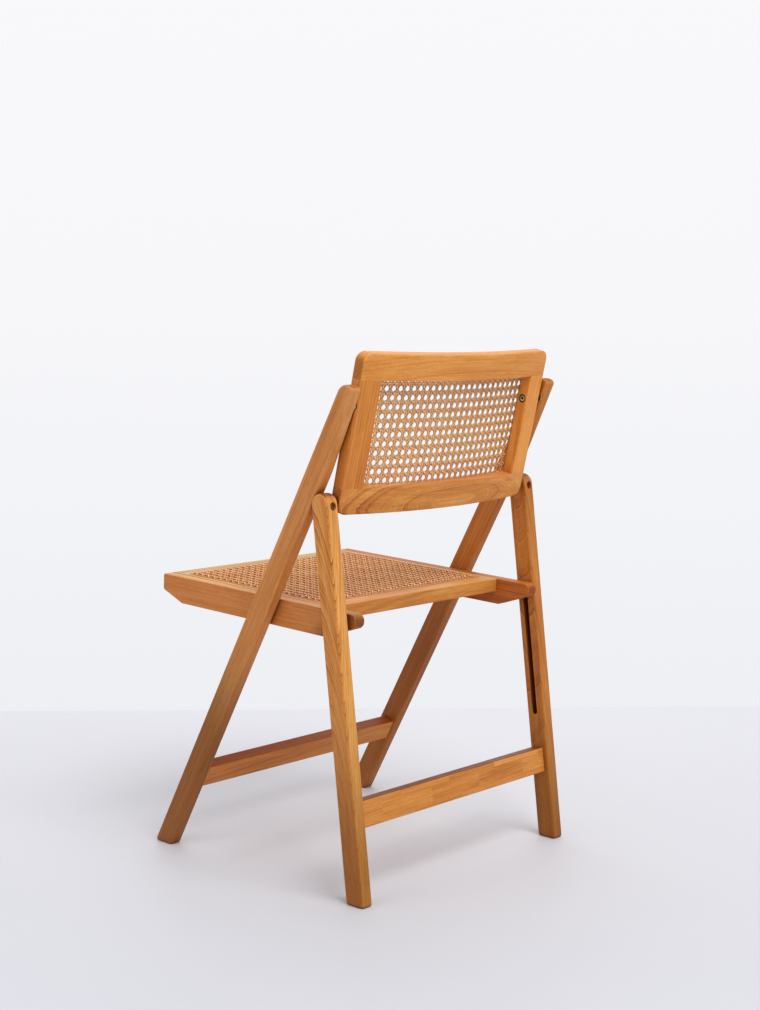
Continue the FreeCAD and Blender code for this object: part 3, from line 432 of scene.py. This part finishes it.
class Strands:
    """Collects many woven strands in one mesh."""

    def __init__(self):
        self.v, self.f, self.a, self.c = [], [], [], []

    def add(self, pts, normals, width, thick, tone):
        """A split cane strand: flat below, crowned above, closed at its ends."""
        prof = [(-0.5, 0.30, 0.0), (-0.42, 0.72, 0.40), (-0.20, 0.95, 0.9), (0.0, 1.0, 1.0), (0.20, 0.95, 0.9),
                (0.42, 0.72, 0.40), (0.5, 0.30, 0.0), (0.45, 0.0, 0.15), (0.28, 0.0, 0.90), (-0.28, 0.0, 0.90),
                (-0.45, 0.0, 0.15)]
        k = len(prof)
        base = len(self.v)
        run = 0.0
        for i, p in enumerate(pts):
            a = pts[max(0, i - 1)]
            b = pts[min(len(pts) - 1, i + 1)]
            tan = (b - a).normalized()
            n = normals[i]
            side = tan.cross(n).normalized()
            up = side.cross(tan).normalized()
            if i:
                run += (p - pts[i - 1]).length
            for u, h, c in prof:
                self.v.append(p + side * (u * width) + up * ((h - 0.5) * thick))
                self.a.append((u * width, run, tone))
                self.c.append(c)
        for i in range(len(pts) - 1):
            for j in range(k):
                q = base + i * k
                self.f.append((q + j, q + (j + 1) % k, q + k + (j + 1) % k, q + k + j))
        self.f.append(tuple(base + j for j in reversed(range(k))))
        q = base + (len(pts) - 1) * k
        self.f.append(tuple(q + j for j in range(k)))

    def build(self, name, mat):
        me = bpy.data.meshes.new(name)
        me.from_pydata([tuple(p) for p in self.v], [], self.f)
        me.validate()
        at = me.attributes.new("strand", "FLOAT_VECTOR", "POINT")
        at.data.foreach_set("vector", [c for t in self.a for c in t])
        cr = me.attributes.new("crown", "FLOAT", "POINT")
        cr.data.foreach_set("value", self.c)
        bm = bmesh.new()
        bm.from_mesh(me)
        bmesh.ops.recalc_face_normals(bm, faces=bm.faces)
        for f in bm.faces:
            f.smooth = len(f.verts) == 4
        bm.to_mesh(me)
        bm.free()
        me.materials.append(mat)
        o = bpy.data.objects.new(name, me)
        bpy.context.scene.collection.objects.link(o)
        return o


def weave(name, place, u0, u1, v0, v1, pu, pv, cu, cv, mat, seed, width=0.0022, thick=0.00085, gap=0.00168,
          lift=0.00040, dlift=0.00088):
    """Six-way cane: pairs across and pairs up, laced by two diagonals.

    place(u, v, h) gives the point and normal of the surface. Holes are
    centred on (cu + i pu, cv + j pv)."""
    s = Strands()
    rnd = random.Random(seed)
    mid_h = 0.00150

    def h_at(u, v, h):
        """Strands press down to the wood where they go into the groove."""
        d = min(u - u0, u1 - u, v - v0, v1 - v)
        k = max(0.0, min(1.0, d / 0.0045))
        k = k * k * (3 - 2 * k)
        return (h + mid_h) * k + 0.00035 * (1 - k)

    def line(pts2, hs, w, tone):
        P, N = [], []
        for (u, v), h in zip(pts2, hs):
            p, n = place(u, v, h_at(u, v, h))
            P.append(p)
            N.append(n)
        if len(P) > 2:
            s.add(P, N, w, thick * rnd.uniform(0.93, 1.05), tone)

    def wob():
        a, b, c, d = rnd.uniform(0, 6.28), rnd.uniform(8, 26), rnd.uniform(0, 6.28), rnd.uniform(50, 90)
        return lambda q: 0.00011 * math.sin(a + b * q) + 0.00006 * math.sin(c + d * q)

    # pairs up the panel, then pairs across it
    for fam in (0, 1):
        a0, a1, b0, b1 = (u0, u1, v0, v1) if fam == 0 else (v0, v1, u0, u1)
        pa, pb, ca, cb = (pu, pv, cu, cv) if fam == 0 else (pv, pu, cv, cu)
        i0 = math.floor((a0 - ca) / pa) - 1
        i1 = math.ceil((a1 - ca) / pa) + 1
        for i in range(i0, i1 + 1):
            for side in (-1, 1):
                a = ca + (i + 0.5) * pa + side * gap
                if not (a0 + width * 0.55 < a < a1 - width * 0.55):
                    continue
                wf = wob()
                tone = rnd.random()
                w = width * rnd.uniform(0.93, 1.06)
                n = int((b1 - b0) / (pb / 8)) + 1
                pts2, hs = [], []
                for q in range(n + 1):
                    b = b0 + (b1 - b0) * q / n
                    ph = (b - cb) / pb
                    # over one strand of each crossing pair and under the other
                    d = (ph - math.floor(ph)) - 0.5
                    h = 0.0
                    x = d * pb / gap
                    if abs(x) < 2.6:
                        h = lift * math.sin(max(-1.3, min(1.3, x)) * math.pi / 2 / 1.0) if abs(x) <= 1.0 else \
                            lift * math.copysign(max(0.0, 1 - (abs(x) - 1.0) / 1.6), x)
                    h *= side if fam == 0 else -side
                    off = wf(b)
                    pts2.append((a + off, b) if fam == 0 else (b, a + off))
                    hs.append(h)
                line(pts2, hs, w, tone)
    # diagonals both ways
    for sgn in (1, -1):
        # the line u/pu - sgn v/pv = k + 1/2 in hole units
        cs = []
        for u in (u0, u1):
            for v in (v0, v1):
                cs.append((u - cu) / pu - sgn * (v - cv) / pv)
        for k in range(math.floor(min(cs)) - 1, math.ceil(max(cs)) + 1):
            c = k + 0.5
            us = [u0, u1, cu + pu * (c + sgn * (v0 - cv) / pv), cu + pu * (c + sgn * (v1 - cv) / pv)]
            lo = max(u0, min(us[2], us[3]))
            hi = min(u1, max(us[2], us[3]))
            if hi - lo < 0.004:
                continue
            wf = wob()
            tone = rnd.random()
            w = width * rnd.uniform(0.90, 1.0)
            n = max(4, int((hi - lo) / (pu / 8)))
            pts2, hs = [], []
            for q in range(n + 1):
                u = lo + (hi - lo) * q / n
                v = cv + pv * ((u - cu) / pu - c) * sgn
                # on the pairs going up at half columns, on those across at whole ones
                h = -dlift * math.cos(2 * math.pi * (u - cu) / pu) * sgn
                pts2.append((u, min(v1, max(v0, v + wf(u)))))
                hs.append(h)
            line(pts2, hs, w, tone)
    o = s.build(name, mat)
    return o


back_place = Matrix.Translation((0, BACK_FOOT[0], BACK_FOOT[1])) @ Matrix.Rotation(-BACK_LEAN, 4, "X")
back_rot = back_place.to_3x3()
R_FRONT = ARC - BACK_THICK


def on_back(u, v, h):
    """u is measured round the rear face, v up the panel, h out of the hollow
    front face."""
    a = u / ARC
    r = R_FRONT - h
    p = Vector((r * math.sin(a), -ARC + r * math.cos(a), v))
    n = Vector((-math.sin(a), -math.cos(a), 0))
    return back_place @ p, back_rot @ n


seat_place = Matrix.Translation((0, SEAT_ZERO_Y, SEAT_TOP_Z)) @ Matrix.Rotation(-math.atan(SEAT_SLOPE), 4, "X")
seat_rot = seat_place.to_3x3()


def on_seat(u, v, h):
    return seat_place @ Vector((u, v, h)), seat_rot @ Vector((0, 0, 1))


gx = BACK_HALF - STILE_W + BACK_LEDGE
g_u = math.asin(gx / R_FRONT) * ARC
cane_b = weave("cane_back_weave", on_back, -g_u - 0.0006, g_u + 0.0006, BACK_RAIL - BACK_LEDGE - 0.0006,
               BACK_HEIGHT - BACK_RAIL + BACK_LEDGE + 0.0006,
               0.01315, 0.013127, 0.0057, 0.00258, cane_back_m, 5)
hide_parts("back_cane")
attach(cane_b, "backrest")

sx = SEAT_OUTER_X - SEAT_EDGE_SIDE - GROOVE_W
sy0, sy1 = SEAT_FRONT_Y + SEAT_EDGE_END + GROOVE_W, SEAT_REAR_Y - SEAT_EDGE_END - GROOVE_W
cane_s = weave("cane_seat_weave", on_seat, -sx - 0.0006, sx + 0.0006, sy0 - 0.0006, sy1 + 0.0006,
               0.01313, 0.01313, 0.0, -0.0054, cane_seat_m, 6, width=0.0026, thick=0.00150, lift=0.00060, dlift=0.0012)
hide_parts("seat_cane")
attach(cane_s, "seat")


def spline_mat():
    m, nt = new_mat("reed_spline")
    g = G(nt)
    tc = g.n("ShaderNodeTexCoord")
    p = tc.outputs["Object"]
    n1 = g.noise(g.vec("SCALE", p, scale=220.0), 1.0, 3.0, 0.6)
    n2 = g.noise(g.vec("SCALE", p, scale=1900.0), 1.0, 2.0, 0.6)
    val = g.math("MULTIPLY_ADD", n1, 0.7, g.math("MULTIPLY", n2, 0.3))
    col = g.ramp(val, [(0.2, lin(226, 172, 112)), (0.5, lin(202, 138, 78)), (0.8, lin(160, 96, 48))])
    finish_mat(g, col, 0.5, n2, 0.3, 0.0002, spec=0.4)
    return m


spl = spline_mat()
own("back_cane_spline", spl)
own("seat_cane_spline", spl)

# ----------------------------------------------------------------------- stage
cam_loc = Vector((1.85030, 1.71525, 0.80279))
F_PX = 1696.69
yaw, pitch, roll = 0.83378, 0.11429, 0.01414
d = Vector((-math.sin(yaw) * math.cos(pitch), -math.cos(yaw) * math.cos(pitch), -math.sin(pitch)))
right = d.cross(Vector((0, 0, 1))).normalized()
up = right.cross(d)
right2 = right * math.cos(roll) + up * math.sin(roll)
up2 = up * math.cos(roll) - right * math.sin(roll)
cam_data = bpy.data.cameras.new("camera")
cam_data.sensor_width = 36.0
cam_data.lens = F_PX * 36.0 / H_PX
cam_data.clip_start = 0.05
cam_data.dof.use_dof = False
cam = bpy.data.objects.new("camera", cam_data)
bpy.context.scene.collection.objects.link(cam)
rot = Matrix((right2, up2, -d)).transposed()
cam.matrix_world = Matrix.Translation(cam_loc) @ rot.to_4x4()
bpy.context.scene.camera = cam

flat = Vector((d.x, d.y, 0)).normalized()
side = Vector((-flat.y, flat.x, 0))


def floor_at(px, py):
    """Where the sight line through a picture point meets the floor."""
    v = d * F_PX + right2 * (px - W_PX / 2) - up2 * (py - H_PX / 2)
    return cam_loc - v * (cam_loc.z / v.z)


def floor_mesh():
    """Pale floor whose far edge lies behind the chair, as the wall line does."""
    c = Vector((cam_loc.x, cam_loc.y, 0))
    bm = bmesh.new()
    near_l, near_r = c - flat * 5 + side * 5, c - flat * 5 - side * 5
    a, b = floor_at(65, 711.0), floor_at(715, 706.6)
    along = (a - b).normalized()
    far_l, far_r = a + along * 4.5, b - along * 4.5
    vs = [bm.verts.new(p) for p in (near_l, near_r, far_r, far_l)]
    bm.faces.new(vs)
    bmesh.ops.recalc_face_normals(bm, faces=bm.faces)
    bmesh.ops.subdivide_edges(bm, edges=bm.edges[:], cuts=12, use_grid_fill=True)
    me = bpy.data.meshes.new("floor")
    bm.to_mesh(me)
    bm.free()
    o = bpy.data.objects.new("floor", me)
    bpy.context.scene.collection.objects.link(o)
    return o


floor = floor_mesh()
m, nt = new_mat("pale_floor")
g = G(nt)
tc = g.n("ShaderNodeTexCoord")
n1 = g.noise(tc.outputs["Object"], 3.0, 3.0, 0.5)
col = g.mix(n1, lin(229, 230, 237), lin(232, 233, 239))
# painted shade: the floor darkens towards the camera, where less light falls
away = g.vec("DOT_PRODUCT", tc.outputs["Object"], (-0.740, -0.672, 0.0))
col = g.mix(g.remap(away, 0.9, -0.5, 0.0, 1.0, True), col, g.mix(1.0, col, (0.895, 0.905, 0.920), "MULTIPLY"))
finish_mat(g, col, 0.55, None, spec=0.25)
floor.data.materials.append(m)

AMBIENT = 0.50             # share of the white surroundings that lights the scene
world = bpy.data.worlds.new("studio")
bpy.context.scene.world = world
world.use_nodes = True
wt = world.node_tree
wt.nodes.clear()
g = G(wt)
tc = g.n("ShaderNodeTexCoord")
sep = g.n("ShaderNodeSeparateXYZ")
g.put(sep.inputs[0], tc.outputs["Generated"])
grad = g.ramp(g.remap(sep.outputs[2], -0.25, 0.25, 0.0, 1.0),
              [(0.0, lin(238, 239, 243)), (0.15, lin(240, 241, 245)), (0.5, lin(247, 247, 250)), (1.0, lin(249, 249, 250))])
bg = g.n("ShaderNodeBackground")
g.put(bg.inputs[0], grad)
lp = g.n("ShaderNodeLightPath")
seen = g.math("MAXIMUM", lp.outputs["Is Camera Ray"], lp.outputs["Is Glossy Ray"])
g.put(bg.inputs[1], g.math("MULTIPLY_ADD", seen, 1.0 - AMBIENT, AMBIENT))
wo = g.n("ShaderNodeOutputWorld")
g.put(wo.inputs[0], bg.outputs[0])


def area(name, loc, target, size, energy, color=(1, 1, 1)):
    ld = bpy.data.lights.new(name, "AREA")
    ld.shape = "RECTANGLE"
    ld.size, ld.size_y = size
    ld.energy = energy
    ld.color = color
    o = bpy.data.objects.new(name, ld)
    bpy.context.scene.collection.objects.link(o)
    o.location = loc
    o.rotation_euler = (Vector(target) - Vector(loc)).to_track_quat("-Z", "Y").to_euler()
    o.visible_camera = False
    return o


area("key", (0.70, 3.30, 4.60), (0, 0.05, 0.45), (3.2, 3.2), 162.0, (1.0, 0.985, 0.96))
area("fill", (2.8, -0.6, 1.6), (0, 0, 0.4), (1.8, 1.8), 10.0, (0.98, 0.985, 1.0))
area("top", (-1.6, -1.6, 2.9), (-1.0, -1.0, 0.0), (3.4, 3.4), 34.0, (1.0, 1.0, 1.0))

bpy.context.scene.view_settings.view_transform = "Standard"
bpy.context.scene.view_settings.look = "None"
